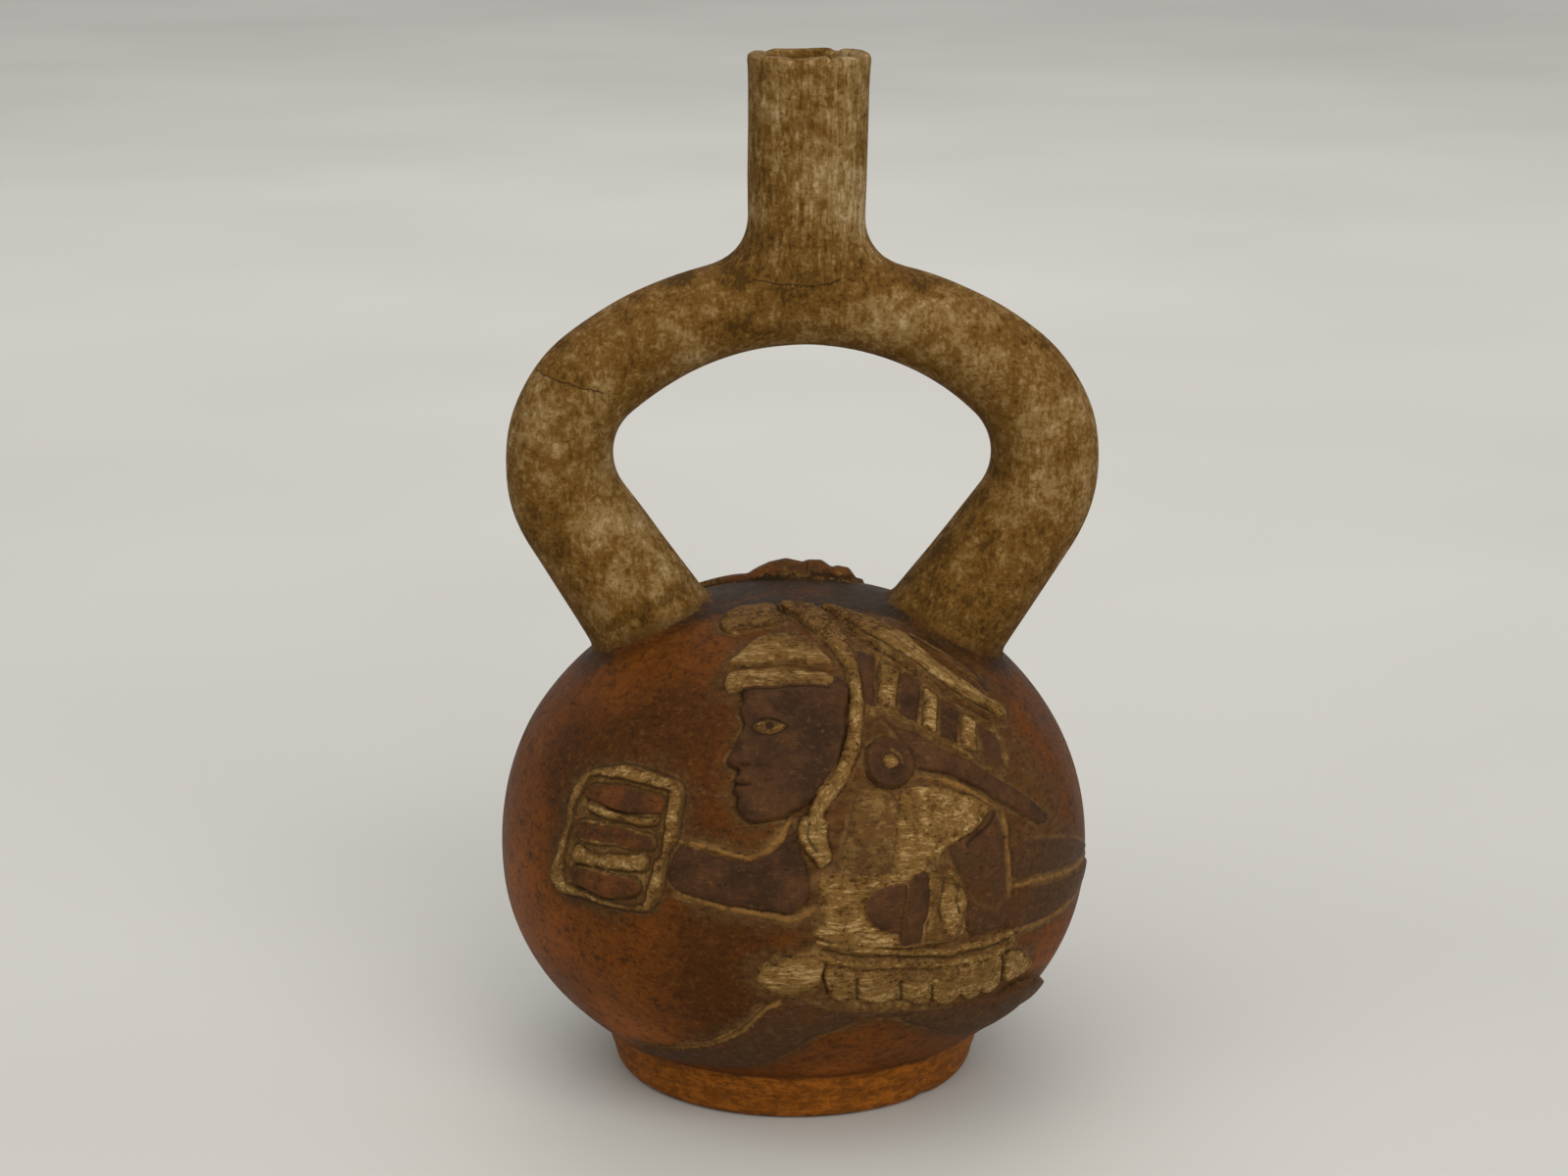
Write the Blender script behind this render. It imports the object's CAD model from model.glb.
import math

import bmesh
import bpy
import numpy as np
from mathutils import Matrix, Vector


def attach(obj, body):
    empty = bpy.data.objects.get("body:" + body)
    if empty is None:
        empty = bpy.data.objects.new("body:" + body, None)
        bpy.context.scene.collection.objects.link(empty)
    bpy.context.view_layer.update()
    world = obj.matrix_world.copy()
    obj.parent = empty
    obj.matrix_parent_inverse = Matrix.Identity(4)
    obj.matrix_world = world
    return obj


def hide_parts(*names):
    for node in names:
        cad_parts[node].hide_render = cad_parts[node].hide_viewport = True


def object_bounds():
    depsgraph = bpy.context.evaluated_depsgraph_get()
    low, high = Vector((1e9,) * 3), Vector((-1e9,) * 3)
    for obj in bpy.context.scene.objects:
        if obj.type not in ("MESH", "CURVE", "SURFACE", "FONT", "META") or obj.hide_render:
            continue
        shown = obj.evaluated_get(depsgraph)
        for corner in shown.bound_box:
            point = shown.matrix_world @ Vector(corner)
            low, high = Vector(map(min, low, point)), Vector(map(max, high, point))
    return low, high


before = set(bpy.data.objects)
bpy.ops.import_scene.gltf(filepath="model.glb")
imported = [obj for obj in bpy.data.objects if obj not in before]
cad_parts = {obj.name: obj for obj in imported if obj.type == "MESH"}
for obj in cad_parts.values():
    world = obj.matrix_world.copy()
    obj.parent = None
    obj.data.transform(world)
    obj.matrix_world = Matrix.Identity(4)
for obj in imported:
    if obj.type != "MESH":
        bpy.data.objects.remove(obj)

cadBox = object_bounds()

# Sizes below are in millimetres at the designed height, and grow with the frame's own height.
designedHeight = 235.0
metresPerMm = (cadBox[1].z - cadBox[0].z) / designedHeight


def middleOfFoot():
    # The foot's ring in the frame shows where the drawing's axis stands.
    corners = [v.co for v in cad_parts["vessel"].data.vertices]
    onFloor = [corner for corner in corners if corner.z < cadBox[0].z + metresPerMm * 0.2]
    spans = [(min(axis), max(axis)) for axis in zip(*onFloor)]
    return [(low + high) / 2 for low, high in spans[:2]] + [cadBox[0].z]


chamber = dict(radius=67.5, middle=53.0, rise=60.0, drop=53.0, fullness=2.1)
foot = dict(radius=41.2, spread=0.22, tuckedTop=16.0, edge=1.5, fillet=1.4, ring=8.0, hollow=4.0)
handle = dict(
    crown=180.0, reach=55.0, bend=25.0, camber=11.0, slant=math.radians(34.2), legRun=36.0,
    crownTube=10.2, legTube=14.4, swell=1.3, wall=3.8, legFillet=3.4,
)
spout = dict(
    radius=13.15, wall=3.3, base=178.0, top=235.0, lip=0.75, lipFade=6.0, pinch=4.2, pinchFade=4.0,
    rimEdge=0.85, filletAlong=10.0, filletAcross=3.0, holeStart=7.0, rimDrop=0.25,
    rimWaves=[(3, 1, 0.15), (7, 0, 0.05)],  # how many round the rim, where they start, how high
)
lean = dict(start=30.0, slope=0.0166)
finish = dict(
    voxel=0.56, triangles=186000, wobble=0.28, wobbleSize=26.0, dimpleSize=11.0, wallInside=5.0,
    roomDepth=1.6, evenRounds=7, sharp=math.radians(62), seed=7,
)


# Numbers on whole arrays of points

def softMin(a, b, size):
    near = np.maximum(size - np.abs(a - b), 0) / size
    return np.minimum(a, b) - near * near * size / 4


def softMax(a, b, size):
    return -softMin(-a, -b, size)


def ramp(value, low, high):
    share = np.clip((value - low) / (high - low), 0, 1)
    return share * share * (3 - 2 * share)


latticeSize = 32
lattices = {}


def noiseAt(points, size, seed):
    # Smooth noise from -1 to 1 whose bumps are about this size.
    if seed not in lattices:
        lattices[seed] = np.random.RandomState(finish["seed"] + seed).uniform(-1, 1, (latticeSize,) * 3)
    table = lattices[seed]
    scaled = points / size
    cell = np.floor(scaled).astype(int)
    share = scaled - cell
    share = share * share * (3 - 2 * share)
    total = 0
    for corner in range(8):
        step = np.array([corner & 1, corner >> 1 & 1, corner >> 2 & 1])
        at = (cell + step) % latticeSize
        weight = np.prod(np.where(step, share, 1 - share), axis=-1)
        total = total + weight * table[at[:, 0], at[:, 1], at[:, 2]]
    return total


# The plain vessel as a distance field

def leanAt(height):
    return np.maximum(height - lean["start"], 0) * lean["slope"]


def chamberDistance(points):
    c = chamber
    across = np.hypot(points[:, 0], points[:, 1])
    up = points[:, 2] - c["middle"]
    reach = np.where(up > 0, c["rise"], c["drop"])
    n = c["fullness"]
    level = ((across / c["radius"]) ** n + (np.abs(up) / reach) ** n) ** (1 / n)
    far = np.hypot(across, up)
    return far * (1 - 1 / np.maximum(level, 0.05))


def footDistance(points):
    f = foot
    across = np.hypot(points[:, 0], points[:, 1])
    side = (across - f["radius"] - f["spread"] * points[:, 2]) * math.cos(math.atan(f["spread"]))
    sole = softMax(side, -points[:, 2], f["edge"] * 2)
    return np.maximum(sole, points[:, 2] - f["tuckedTop"])


def tubeAt(share):
    # The handle's radius at a share of the way from crown to leg.
    return handle["crownTube"] + (handle["legTube"] - handle["crownTube"]) * share ** handle["swell"]


def handleArcs():
    h = handle
    bendX = h["reach"] - h["bend"]
    bendZ = h["crown"] - h["bend"] - h["camber"]
    crownBend = (bendX**2 / h["camber"] + h["camber"]) / 2 + h["bend"]
    crownZ = h["crown"] - crownBend
    meet = math.atan2(bendX, bendZ - crownZ)
    legTurn = math.pi / 2 + h["slant"]
    return bendX, bendZ, crownBend, crownZ, meet, legTurn


def alongHandle(points):
    # Distance from the centreline within the handle's plane, and the run along it from the crown.
    bendX, bendZ, crownBend, crownZ, meet, legTurn = handleArcs()
    x = np.abs(points[:, 0] - leanAt(points[:, 2]))
    z = points[:, 2]
    nearest = np.full(len(points), 1e9)
    run = np.zeros(len(points))

    def take(distance, at):
        closer = distance < nearest
        nearest[closer] = distance[closer]
        run[closer] = at[closer]

    for cx, cz, radius, low, high, start in (
        (0.0, crownZ, crownBend, 0.0, meet, 0.0),
        (bendX, bendZ, handle["bend"], meet, legTurn, crownBend * meet),
    ):
        turn = np.clip(np.arctan2(x - cx, z - cz), low, high)
        distance = np.hypot(x - cx - radius * np.sin(turn), z - cz - radius * np.cos(turn))
        take(distance, start + radius * (turn - low))
    legX = bendX + handle["bend"] * math.sin(legTurn)
    legZ = bendZ + handle["bend"] * math.cos(legTurn)
    down = (-math.sin(handle["slant"]), -math.cos(handle["slant"]))
    length = np.clip((x - legX) * down[0] + (z - legZ) * down[1], 0, handle["legRun"])
    start = crownBend * meet + handle["bend"] * (legTurn - meet)
    take(np.hypot(x - legX - length * down[0], z - legZ - length * down[1]), start + length)
    return nearest, run, start + handle["legRun"]


def handleDistance(points):
    aside, run, whole = alongHandle(points)
    return np.hypot(aside, points[:, 1]) - tubeAt(run / whole)


rimChips = [  # turn round the rim from the front, width and depth in mm
    dict(turn=0.42, width=2.2, depth=0.7),
    dict(turn=-0.15, width=7.0, depth=0.3),
    dict(turn=1.0, width=6.0, depth=0.2),
    dict(turn=2.6, width=3.5, depth=0.6),
    dict(turn=-2.2, width=5.0, depth=0.5),
]


def rimHeight(x, y):
    turn = np.arctan2(x, -y)
    height = spout["top"] - spout["rimDrop"]
    for count, start, tall in spout["rimWaves"]:
        height = height + tall * np.sin(count * turn + start)
    for chip in rimChips:
        off = np.angle(np.exp(1j * (turn - chip["turn"]))) * spout["radius"]
        height = height - chip["depth"] * np.exp(-((off / chip["width"] * 2) ** 4))
    return np.minimum(height, spout["top"])


def spoutDistance(points):
    s = spout
    x = points[:, 0] - leanAt(points[:, 2])
    y, z = points[:, 1], points[:, 2]
    across = np.hypot(x, y) + 1e-9
    lip = s["lip"] * np.exp(np.minimum(z - s["top"], 0) / s["lipFade"])
    pinch = s["pinch"] * np.exp(-np.maximum(z - s["base"], 0) / s["pinchFade"]) * (y / across) ** 2
    wall = across - (s["radius"] + lip - pinch)
    wall = softMax(wall, z - rimHeight(x, y), s["rimEdge"] * 2)
    hole = np.maximum(across - (s["radius"] - s["wall"]), s["top"] - s["holeStart"] - z)
    wall = softMax(wall, -hole, s["rimEdge"] * 2)
    return np.maximum(wall, s["base"] - z)


def vesselDistance(points):
    x = points[:, 0] - leanAt(points[:, 2])
    along = x * x / (x * x + points[:, 1] ** 2 + 1e-6)
    fillet = spout["filletAcross"] + (spout["filletAlong"] - spout["filletAcross"]) * along
    top = softMin(handleDistance(points), spoutDistance(points), fillet)
    below = softMin(chamberDistance(points), footDistance(points), foot["fillet"])
    return softMin(top, below, handle["legFillet"])


def settled(points, rounds=4):
    # Moves points onto the vessel's surface, which the potter's hand left a little uneven.
    step = 0.05
    wobble = noiseAt(points, finish["wobbleSize"], 1) + 0.5 * noiseAt(points, finish["dimpleSize"], 2)
    still = ramp(points[:, 2], 0.0, 6.0) * (1 - ramp(points[:, 2], 222.0, 234.0))
    uneven = finish["wobble"] * wobble * still
    for _ in range(rounds):
        plain = vesselDistance(points)
        slope = np.empty_like(points)
        for axis in range(3):
            ahead = points.copy()
            ahead[:, axis] += step
            slope[:, axis] = (vesselDistance(ahead) - plain) / step
        size = np.maximum((slope**2).sum(axis=1), 0.2)
        points = points - slope * (np.clip(plain - uneven, -1.5, 1.5) / size)[:, None]
    return points


# Plain shells that the fine mesh starts from

def ringPoints(centre, normal, radius, sides):
    turn = np.arange(sides) * 2 * math.pi / sides
    outward = np.cos(turn)[:, None] * np.array(normal)
    return np.array(centre) + radius * (outward + np.sin(turn)[:, None] * np.array([0, 1, 0]))


def loft(rings):
    # A closed skin over rings of equally many points, with a fan at each end.
    sides = len(rings[0])
    points = np.concatenate([*rings, [rings[0].mean(axis=0)], [rings[-1].mean(axis=0)]])
    faces = []
    last = (len(rings) - 1) * sides
    ends = (len(points) - 2, len(points) - 1)
    for i in range(sides):
        j = (i + 1) % sides
        for row in range(len(rings) - 1):
            a, b = row * sides, (row + 1) * sides
            faces.append((a + i, a + j, b + j, b + i))
        faces.append((ends[0], j, i))
        faces.append((ends[1], last + i, last + j))
    return points, faces


def turned(profile, sides, leans=False):
    # A ring for each (radius, height) of the profile.
    turn = np.arange(sides) * 2 * math.pi / sides
    rings = []
    for radius, height in profile:
        shift = leanAt(np.array(height)) if leans else 0
        x = radius * np.cos(turn) + shift
        rings.append(np.column_stack([x, radius * np.sin(turn), np.full(sides, height)]))
    return loft(rings)


def joinShells(shells):
    points, faces, start = [], [], 0
    for shellPoints, shellFaces in shells:
        points.append(shellPoints)
        faces += [tuple(start + i for i in face) for face in shellFaces]
        start += len(shellPoints)
    return np.concatenate(points), faces


def chamberProfile(inset, floor, rows):
    c = chamber
    n = c["fullness"]
    depth = min(1, (c["middle"] - floor) / (c["drop"] - inset))
    profile = []
    for share in np.linspace(0, 1, rows):
        turn = -math.asin(depth ** (n / 2)) * (1 - share) + math.pi / 2 * 0.995 * share
        reach = (c["drop"] if turn < 0 else c["rise"]) - inset
        across = math.cos(turn) ** (2 / n)
        along = math.copysign(abs(math.sin(turn)) ** (2 / n), turn)
        profile.append(((c["radius"] - inset) * across, c["middle"] + reach * along))
    return profile


def handleShell(inset, sides, steps):
    bendX, bendZ, crownBend, crownZ, meet, legTurn = handleArcs()
    half = []
    for turn in np.linspace(0, meet, steps):
        half.append((crownBend * math.sin(turn), crownZ + crownBend * math.cos(turn), turn))
    for turn in np.linspace(meet, legTurn, steps * 2)[1:]:
        half.append((
            bendX + handle["bend"] * math.sin(turn), bendZ + handle["bend"] * math.cos(turn), turn))
    legX, legZ = half[-1][:2]
    for length in np.linspace(0, handle["legRun"], 5)[1:]:
        half.append((
            legX - length * math.sin(handle["slant"]), legZ - length * math.cos(handle["slant"]), legTurn))
    stations = [(-x, z, -turn) for x, z, turn in half[:0:-1]] + half
    run = np.hypot(*np.diff([(x, z) for x, z, turn in half], axis=0).T).cumsum()
    run = np.concatenate([[0], run])
    shares = np.concatenate([run[:0:-1], run]) / run[-1]
    rings = []
    for (x, z, turn), share in zip(stations, shares):
        centre = (x + float(leanAt(np.array(z))), 0, z)
        rings.append(ringPoints(centre, (math.sin(turn), 0, math.cos(turn)), tubeAt(share) - inset, sides))
    return loft(rings)


def meshOf(name, points, faces):
    mesh = bpy.data.meshes.new(name)
    mesh.from_pydata(points.tolist(), [], faces)
    mesh.validate()
    mesh.update()
    thing = bpy.data.objects.new(name, mesh)
    bpy.context.scene.collection.objects.link(thing)
    return thing


def modified(thing, kind, **settings):
    # Runs one modifier and keeps its result as the mesh.
    modifier = thing.modifiers.new(kind, kind)
    for key, value in settings.items():
        setattr(modifier, key, value)
    depsgraph = bpy.context.evaluated_depsgraph_get()
    mesh = bpy.data.meshes.new_from_object(thing.evaluated_get(depsgraph))
    thing.modifiers.clear()
    old = thing.data
    thing.data = mesh
    bpy.data.meshes.remove(old)
    return thing


def pointsOf(mesh):
    flat = np.empty(len(mesh.vertices) * 3)
    mesh.vertices.foreach_get("co", flat)
    return flat.reshape(-1, 3)


def setPoints(mesh, points):
    mesh.vertices.foreach_set("co", points.ravel())
    mesh.update()


# The relief is drawn on a chart of each half of the chamber: mm across and up along the clay from the
# chamber's middle.

farOff = 9.0


def chartOf(points, side):
    spokes = (points - np.array([0, 0, chamber["middle"]])) * np.array([side, side, 1])
    far = np.linalg.norm(spokes, axis=1)
    turn = np.arccos(np.clip(-spokes[:, 1] / far, -1, 1))
    scale = chamber["radius"] * turn / np.maximum(np.sin(turn), 1e-6) / far
    return np.column_stack([spokes[:, 0] * scale, spokes[:, 2] * scale])


def rounded(outline, closed=True, rounds=2):
    # Adds points between those given, on a smooth curve through them.
    points = np.array(outline, float)
    for _ in range(rounds):
        if closed:
            before, after = np.roll(points, 1, axis=0), np.roll(points, -1, axis=0)
            further = np.roll(points, -2, axis=0)
            middle = (points + after) * 9 / 16 - (before + further) / 16
            points = np.stack([points, middle], axis=1).reshape(-1, points.shape[1])
        else:
            padded = np.concatenate([points[:1], points, points[-1:]])
            middle = (padded[1:-2] + padded[2:-1]) * 9 / 16 - (padded[:-3] + padded[3:]) / 16
            woven = np.empty((len(points) * 2 - 1, points.shape[1]))
            woven[0::2] = points
            woven[1::2] = middle
            points = woven
    return points


def nearEnough(spots, outline, reach):
    low, high = outline[:, :2].min(axis=0) - reach, outline[:, :2].max(axis=0) + reach
    return np.flatnonzero(np.all((spots > low) & (spots < high), axis=1))


def insideOf(spots, outline, smooth=True):
    # Distance to a closed outline, below zero inside it.
    corners = rounded(outline) if smooth else np.array(outline, float)
    distance = np.full(len(spots), farOff)
    near = nearEnough(spots, corners, farOff)
    x, y = spots[near].T
    best = np.full(len(near), farOff**2)
    within = np.zeros(len(near), bool)
    for (x0, y0), (x1, y1) in zip(corners, np.roll(corners, -1, axis=0)):
        dx, dy = x1 - x0, y1 - y0
        share = np.clip(((x - x0) * dx + (y - y0) * dy) / (dx * dx + dy * dy + 1e-12), 0, 1)
        best = np.minimum(best, (x - x0 - share * dx) ** 2 + (y - y0 - share * dy) ** 2)
        if y0 != y1:
            within ^= ((y0 > y) != (y1 > y)) & (x < x0 + (y - y0) * dx / dy)
    distance[near] = np.sqrt(best) * np.where(within, -1, 1)
    return distance


def strokeOf(spots, line, smooth=True):
    # A line whose points carry a half width: distance to its edge, run along it and distance to its middle.
    points = rounded(line, closed=False) if smooth else np.array(line, float)
    edge = np.full(len(spots), farOff)
    run = np.zeros(len(spots))
    aside = np.full(len(spots), farOff)
    near = nearEnough(spots, points, farOff)
    x, y = spots[near].T
    best = np.full(len(near), farOff)
    bestRun = np.zeros(len(near))
    bestAside = np.full(len(near), farOff)
    start = 0.0
    for (x0, y0, w0), (x1, y1, w1) in zip(points[:-1], points[1:]):
        dx, dy = x1 - x0, y1 - y0
        length = math.hypot(dx, dy) + 1e-9
        share = np.clip(((x - x0) * dx + (y - y0) * dy) / length**2, 0, 1)
        middle = np.hypot(x - x0 - share * dx, y - y0 - share * dy)
        distance = middle - (w0 + (w1 - w0) * share)
        closer = distance < best
        best = np.where(closer, distance, best)
        bestRun = np.where(closer, start + share * length, bestRun)
        sign = np.where((x - x0) * dy - (y - y0) * dx > 0, 1, -1)
        bestAside = np.where(closer, middle * sign, bestAside)
        start += length
    edge[near], run[near], aside[near] = best, bestRun, bestAside
    return edge, run, aside


slips = ("cream", "dark", "umber", "grey", "ochre", "tan")
relief = dict(
    tall=1.05, softer=1.0, wander=0.3, wanderSize=5.0, jitter=0.15, jitterSize=1.7, crownReach=2.2,
    sink=0.05, blend=0.35, clear=0.2, full=2.6,
)


class Relief:
    # What the clay carries at each spot: height, the slip painted on it and how its grain runs.
    def __init__(self, spots):
        flat = np.column_stack([spots, np.zeros(len(spots))])
        hand = []
        for seed in (3, 4):
            wander = relief["wander"] * noiseAt(flat, relief["wanderSize"], seed)
            hand.append(wander + relief["jitter"] * noiseAt(flat, relief["jitterSize"], seed + 2))
        spots = spots + np.column_stack(hand)
        self.spots = spots
        self.height = np.zeros(len(spots))
        self.slip = {name: np.full(len(spots), farOff) for name in slips}
        self.rim = np.full(len(spots), farOff)
        self.groove = np.full(len(spots), farOff)
        self.grain = spots.copy()

    def paint(self, distance, slip):
        for name, field in self.slip.items():
            if name == slip:
                np.minimum(field, distance, out=field)
            else:
                np.maximum(field, -distance, out=field)

    def build(self, distance, height, soft=0.55, crown=0.35, over=False):
        # Clay laid on with a soft edge and a slightly domed top; over lays it on what is there already.
        depth = -distance
        soft = soft * relief["softer"]
        dome = 1 - np.exp(-np.maximum(depth, 0) / relief["crownReach"])
        bump = height * ramp(depth, -soft, soft) + crown * dome
        bump = bump * relief["tall"]
        if over:
            self.height = self.height + bump
        else:
            self.height = softMax(self.height, bump - relief["sink"], relief["blend"])
        self.rim = np.minimum(self.rim, np.abs(distance))

    def area(self, outline, slip=None, height=1.0, smooth=True, **how):
        distance = insideOf(self.spots, outline, smooth)
        self.build(distance, height, **how)
        if slip:
            self.paint(distance, slip)
        return distance

    def stroke(self, line, slip=None, height=1.0, smooth=True, grained=False, **how):
        distance, run, aside = strokeOf(self.spots, line, smooth)
        self.build(distance, height, **how)
        if slip:
            self.paint(distance, slip)
        if grained:
            on = distance < 0.6
            self.grain[on] = np.column_stack([run, aside])[on]
        return distance

    def stain(self, outline, slip, smooth=True):
        self.paint(insideOf(self.spots, outline, smooth), slip)

    def press(self, distance, width, depth):
        # A round-bottomed groove where the distance is nil.
        self.height = self.height - depth * np.exp(-((distance / width) ** 2))

    def cut(self, line, width=0.5, depth=0.6, smooth=True):
        # A groove pressed along a line.
        points = [(x, y, 0.0) for x, y in line]
        distance = strokeOf(self.spots, points, smooth)[0]
        self.press(distance, width, depth)
        self.groove = np.minimum(self.groove, distance - width * 0.6)

    def cutRound(self, outline, width=0.5, depth=0.5, smooth=True):
        # A groove pressed just outside an outline.
        distance = insideOf(self.spots, outline, smooth)
        off = distance - width
        self.press(off, width, depth)
        self.groove = np.minimum(self.groove, np.abs(off) - width * 0.5)

    def mound(self, x, y, wide, tall, height, turn=0.0):
        dx, dy = (self.spots - np.array([x, y])).T
        along = dx * math.cos(turn) + dy * math.sin(turn)
        across = dy * math.cos(turn) - dx * math.sin(turn)
        self.height = self.height + height * np.exp(-((along / wide) ** 2) - (across / tall) ** 2)


head = dict(
    profile=[
        (-11.6, 60), (-12.6, 54), (-12.9, 50.4), (-12, 47.4), (-13.2, 44), (-14.9, 40.4), (-15.6, 38.6),
        (-15, 37.2), (-12.9, 36.5), (-12.7, 35.2), (-13.7, 33.9), (-13.1, 32.7), (-13.5, 31.4),
        (-12.4, 30.1), (-12.5, 28.2), (-11.2, 25.7), (-8.5, 24.8), (-2, 26.3), (4, 30), (8.5, 35),
        (11, 42), (12.4, 50), (12, 60),
    ],
)


def modelHead(r):
    # Hairline, brow, nose base and chin are evenly spaced, the eye is a fifth of the head, the mouth a third
    # of the way from nose to chin.
    distance = r.area(head["profile"], "dark", 1.9, soft=0.6, crown=1.1)
    face = r.height.copy()
    r.mound(-9.2, 50.6, 4.6, 1.3, 0.55, 0.1)  # brow
    r.mound(-6.2, 46.2, 3.6, 2.1, -0.5)  # eye socket
    r.mound(-12.2, 43, 1.3, 4.2, 0.6, 0.25)  # bridge of the nose
    r.mound(-13.4, 38.6, 1.7, 1.6, 0.8)  # tip
    r.mound(-10.7, 38.3, 1.3, 1.3, 0.65)  # nostril wing
    r.mound(-8.9, 38, 0.8, 1.9, -0.4, -0.4)  # fold behind it
    r.mound(-3.4, 39.4, 4.6, 4.2, 0.7)  # cheek
    r.mound(-11.9, 34.1, 2, 0.7, 0.45)  # upper lip
    r.mound(-11.8, 31.7, 1.8, 0.8, 0.5)  # lower lip
    r.mound(-10.8, 27.6, 2.2, 1.9, 0.6)  # chin
    r.mound(4.2, 34.6, 6, 1.6, 0.4, 0.75)  # jaw
    r.height = face + (r.height - face) * ramp(-distance, -0.4, 0.8)
    r.cut([(-13.2, 32.9), (-11.6, 32.85), (-9.6, 33)], 0.32, 0.5)
    r.cut([(-12, 37.3), (-11, 36.9), (-9.8, 37.2)], 0.35, 0.35)
    eye = [(-9.6, 46), (-7.9, 47.2), (-5.9, 47.5), (-4, 47), (-2.2, 45.9), (-4, 45), (-6, 44.7), (-8, 45)]
    r.cutRound(eye, 0.5, 0.3)
    r.area(eye, "cream", 0.35, soft=0.3, crown=0.45, over=True)
    pupil = strokeOf(r.spots, [(-5.9, 46.1, 1.15), (-5.85, 46.1, 1.15)], False)[0]
    r.build(pupil, 0.12, soft=0.2, crown=0.1, over=True)
    r.paint(pupil, "dark")
    r.groove = np.minimum(r.groove, pupil + 0.15)
    lid = [(-10.2, 46.3, 0.3), (-8, 48.1, 0.45), (-5.8, 48.5, 0.5), (-3.6, 47.8, 0.4), (-1.8, 46.4, 0.3)]
    lid = r.stroke(lid, "dark", 0.4, soft=0.3, crown=0, over=True)
    r.groove = np.minimum(r.groove, np.abs(lid) + 0.1)


shield = dict(
    outer=[
        (-52.2, 33.6), (-45.8, 35.6), (-40.9, 36.4), (-34.8, 35.5), (-29.5, 34.2), (-26.2, 32.8),
        (-25.6, 29.9), (-25.7, 25.1), (-25.9, 21.3), (-28, 17.4), (-28.4, 14.3), (-29.3, 9.4),
        (-30.8, 5.6), (-32.8, 3.8), (-37.7, 3.2), (-42.9, 3.2), (-47.2, 3.3), (-53.2, 3.1),
        (-57.3, 2.9), (-60.5, 6.1), (-60.9, 7.6), (-58.8, 12.2), (-57.4, 17.3), (-56.5, 21.5),
        (-56.5, 25.2), (-55.3, 29.6),
    ],
    inner=[
        (-49.8, 32.5), (-43.3, 32.9), (-37.1, 32.3), (-31.3, 31.2), (-28.5, 30.4), (-28.9, 24.9),
        (-29, 17.1), (-30.5, 15.5), (-32.1, 10.3), (-33.8, 5.6), (-40.6, 4.6), (-46.6, 4.9),
        (-51.5, 5.5), (-55.4, 6.6), (-55.6, 11.1), (-54.7, 16.5), (-54.3, 21.3), (-52.3, 28.1),
    ],
    bars=[
        ("umber", [
            (-50, 30.3), (-43, 31.3), (-35.4, 30.4), (-29.7, 29.1), (-31.2, 25.1), (-36.1, 24.9),
            (-42, 25.5), (-50.4, 27.1),
        ]),
        ("cream", [
            (-49.5, 26.4), (-46.5, 26), (-42.2, 24.9), (-36.1, 24.6), (-31.2, 24.9), (-31.3, 23.2),
            (-35.9, 22.8), (-41.8, 23.2), (-48.8, 24),
        ]),
        ("umber", [
            (-51.5, 21.5), (-44.7, 22), (-35.8, 21.3), (-31.3, 20.4), (-31.9, 17.6), (-41.1, 17.5),
            (-51.3, 17.4),
        ]),
        ("cream", [
            (-51.8, 15.8), (-47.6, 14.6), (-45.1, 14.6), (-35.3, 16), (-32.6, 15.9), (-33.4, 12.7),
            (-40.8, 12.4), (-52.1, 11.8),
        ]),
        ("umber", [
            (-52.4, 10.7), (-43.7, 10.9), (-35.1, 10.3), (-35, 7.4), (-38.9, 6.2), (-42.3, 5.4),
            (-46, 5.4), (-49.2, 6), (-52.9, 6.7),
        ]),
    ],
    lines=[
        [(-50.6, 21.7, 0.3), (-44.7, 22.4, 0.45), (-38.5, 22, 0.4), (-31.6, 21, 0.3)],
        [(-51.2, 17, 0.3), (-44.1, 17.3, 0.4), (-38.2, 17, 0.4), (-32.2, 16.9, 0.3)],
        [(-51, 11.1, 0.3), (-43.7, 11.4, 0.45), (-36.3, 11, 0.3)],
    ],
)


def modelShield(r):
    r.cutRound(shield["outer"], 0.5, 0.2)
    r.area(shield["outer"], "tan", 1.6, soft=0.6, crown=0.25)
    inner = insideOf(r.spots, shield["inner"])
    r.height = r.height - 0.75 * ramp(-inner, -0.4, 0.5)
    r.groove = np.minimum(r.groove, np.abs(inner) - 0.25)
    r.paint(insideOf(r.spots, shield["outer"]) + 0.5, "cream")
    r.paint(inner - 0.2, "tan")
    for slip, outline in shield["bars"]:
        r.area(outline, slip, 0.75, soft=0.4, crown=0.1, over=True)
        r.cutRound(outline, 0.4, 0.18)
    for line in shield["lines"]:
        r.stroke(line, "cream", 0.25, soft=0.3, crown=0, over=True)


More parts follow.
